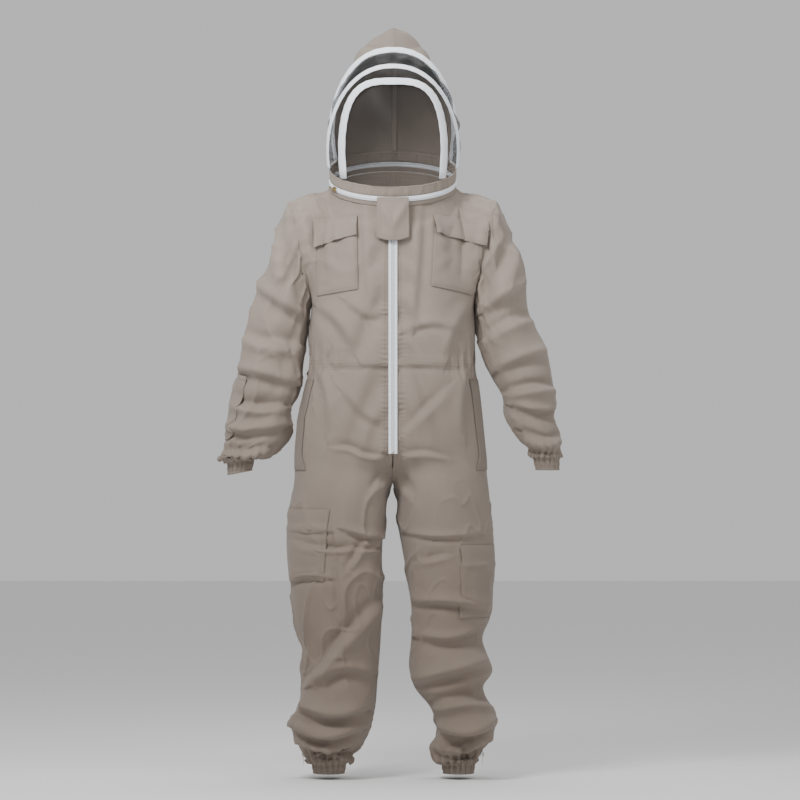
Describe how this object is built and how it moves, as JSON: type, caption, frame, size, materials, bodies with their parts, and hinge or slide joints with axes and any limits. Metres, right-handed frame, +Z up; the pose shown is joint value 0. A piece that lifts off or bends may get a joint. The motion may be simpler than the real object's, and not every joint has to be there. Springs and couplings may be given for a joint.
{
  "type": "beekeeping suit",
  "caption": "Cotton beekeeping coverall with a fencing-style veil hood on wired hoops, a front zip, elastic cuffs and patch pockets.",
  "frame": {"origin": "middle of the neck ring, where the hood zips to the collar", "axes": "+Z up along the standing wearer, the front faces -Y, +X is the wearer's left"},
  "size_m": [0.8196, 0.3366, 1.7718],
  "materials": {
    "cloth": "matte",
    "white_tape": "matte",
    "net": "matte",
    "elastic": "matte",
    "brass": "satin",
    "nickel": "satin",
    "wire": "satin"
  },
  "bodies": {
    "root": {"front_bodice_left": "cloth", "front_bodice_right": "cloth", "back_bodice": "cloth", "front_trouser_left": "cloth", "front_trouser_right": "cloth", "back_trouser_left": "cloth", "back_trouser_right": "cloth", "waist_elastic": "elastic", "ankle_cuff_left": "elastic", "ankle_cuff_right": "elastic", "chest_pocket_left": "cloth", "chest_pocket_right": "cloth", "thigh_pocket_left": "cloth", "thigh_pocket_right": "cloth", "side_pocket_welt_left": "cloth", "side_pocket_welt_right": "cloth", "collar_band": "cloth", "neck_zip_tape_suit": "white_tape", "front_zip_tape_left": "white_tape", "front_zip_tape_right": "white_tape", "front_zip_teeth": "white_tape", "front_zip_top_stop": "nickel", "front_zip_bottom_stop": "nickel", "ankle_zip_tape_left": "cloth", "ankle_zip_tape_right": "cloth"},
    "hood": {"neck_zip_tape_hood": "white_tape", "veil_hem": "cloth", "hoop_inner_tape": "white_tape", "hoop_inner_wire": "wire", "hoop_middle_tape": "white_tape", "hoop_middle_wire": "wire", "hoop_outer_tape": "white_tape", "hoop_outer_wire": "wire", "veil_side": "net", "veil_top": "net", "face_veil": "net", "crown_left": "cloth", "crown_right": "cloth"},
    "neck_flap": {"neck_flap": "cloth"},
    "pocket_flap_left": {"pocket_flap_left": "cloth"},
    "pocket_flap_right": {"pocket_flap_right": "cloth"},
    "front_zip_slider": {"front_zip_slider": "brass", "front_zip_pull": "brass"},
    "neck_zip_slider": {"neck_zip_slider": "brass"},
    "neck_zip_pull": {"neck_zip_pull": "brass"},
    "ankle_zip_slider_left": {"ankle_zip_slider_left": "nickel"},
    "ankle_zip_pull_left": {"ankle_zip_pull_left": "nickel"},
    "ankle_zip_slider_right": {"ankle_zip_slider_right": "nickel"},
    "ankle_zip_pull_right": {"ankle_zip_pull_right": "nickel"},
    "sleeve_left": {"sleeve_left": "cloth", "wrist_cuff_left": "elastic"},
    "sleeve_right": {"sleeve_right": "cloth", "wrist_cuff_right": "elastic", "sleeve_pocket_right": "cloth"}
  },
  "joints": [
    {"name": "hood_fold", "type": "hinge", "parent": "root", "child": "hood", "pos_m": [0, 0.14191, 0.04859], "axis": [-1, 0, 0], "range_deg": [0, 105]},
    {"name": "neck_flap_lift", "type": "hinge", "parent": "root", "child": "neck_flap", "pos_m": [0, -0.15077, -0.04859], "axis": [-1, 0, 0], "range_deg": [0, 110]},
    {"name": "pocket_flap_lift_left", "type": "hinge", "parent": "root", "child": "pocket_flap_left", "pos_m": [0.14144, -0.10205, -0.07642], "axis": [-0.842, -0.5315, 0.0925], "range_deg": [0, 110]},
    {"name": "pocket_flap_lift_right", "type": "hinge", "parent": "root", "child": "pocket_flap_right", "pos_m": [-0.14144, -0.10205, -0.07642], "axis": [-0.842, 0.5315, -0.0925], "range_deg": [0, 110]},
    {"name": "front_zip_slide", "type": "slide", "parent": "root", "child": "front_zip_slider", "axis": [0, 0, -1], "range_m": [0, 0.54]},
    {"name": "neck_zip_slide", "type": "hinge", "parent": "root", "child": "neck_zip_slider", "pos_m": [0, 0, 0], "axis": [0, -0.3239, 0.9461], "range_deg": [-262, 42]},
    {"name": "neck_pull_swing", "type": "hinge", "parent": "neck_zip_slider", "child": "neck_zip_pull", "pos_m": [-0.13982, -0.06589, -0.02256], "axis": [0, -0.3239, 0.9461], "range_deg": [0, 150]},
    {"name": "ankle_zip_slide_left", "type": "slide", "parent": "root", "child": "ankle_zip_slider_left", "axis": [0.3999, 0, 0.9165], "range_m": [0, 0.075]},
    {"name": "ankle_pull_swing_left", "type": "hinge", "parent": "ankle_zip_slider_left", "child": "ankle_zip_pull_left", "pos_m": [0.21743, 0, -1.3604], "axis": [0, -1, 0], "range_deg": [0, 140]},
    {"name": "ankle_zip_slide_right", "type": "slide", "parent": "root", "child": "ankle_zip_slider_right", "axis": [-0.3999, 0, 0.9165], "range_m": [0, 0.075]},
    {"name": "ankle_pull_swing_right", "type": "hinge", "parent": "ankle_zip_slider_right", "child": "ankle_zip_pull_right", "pos_m": [-0.21743, 0, -1.3604], "axis": [0, 1, 0], "range_deg": [0, 140]},
    {"name": "sleeve_raise_left", "type": "hinge", "parent": "root", "child": "sleeve_left", "pos_m": [0.2405, 0, -0.03], "axis": [0, -1, 0], "range_deg": [0, 50]},
    {"name": "sleeve_raise_right", "type": "hinge", "parent": "root", "child": "sleeve_right", "pos_m": [-0.2405, 0, -0.03], "axis": [0, 1, 0], "range_deg": [0, 50]}
  ]
}
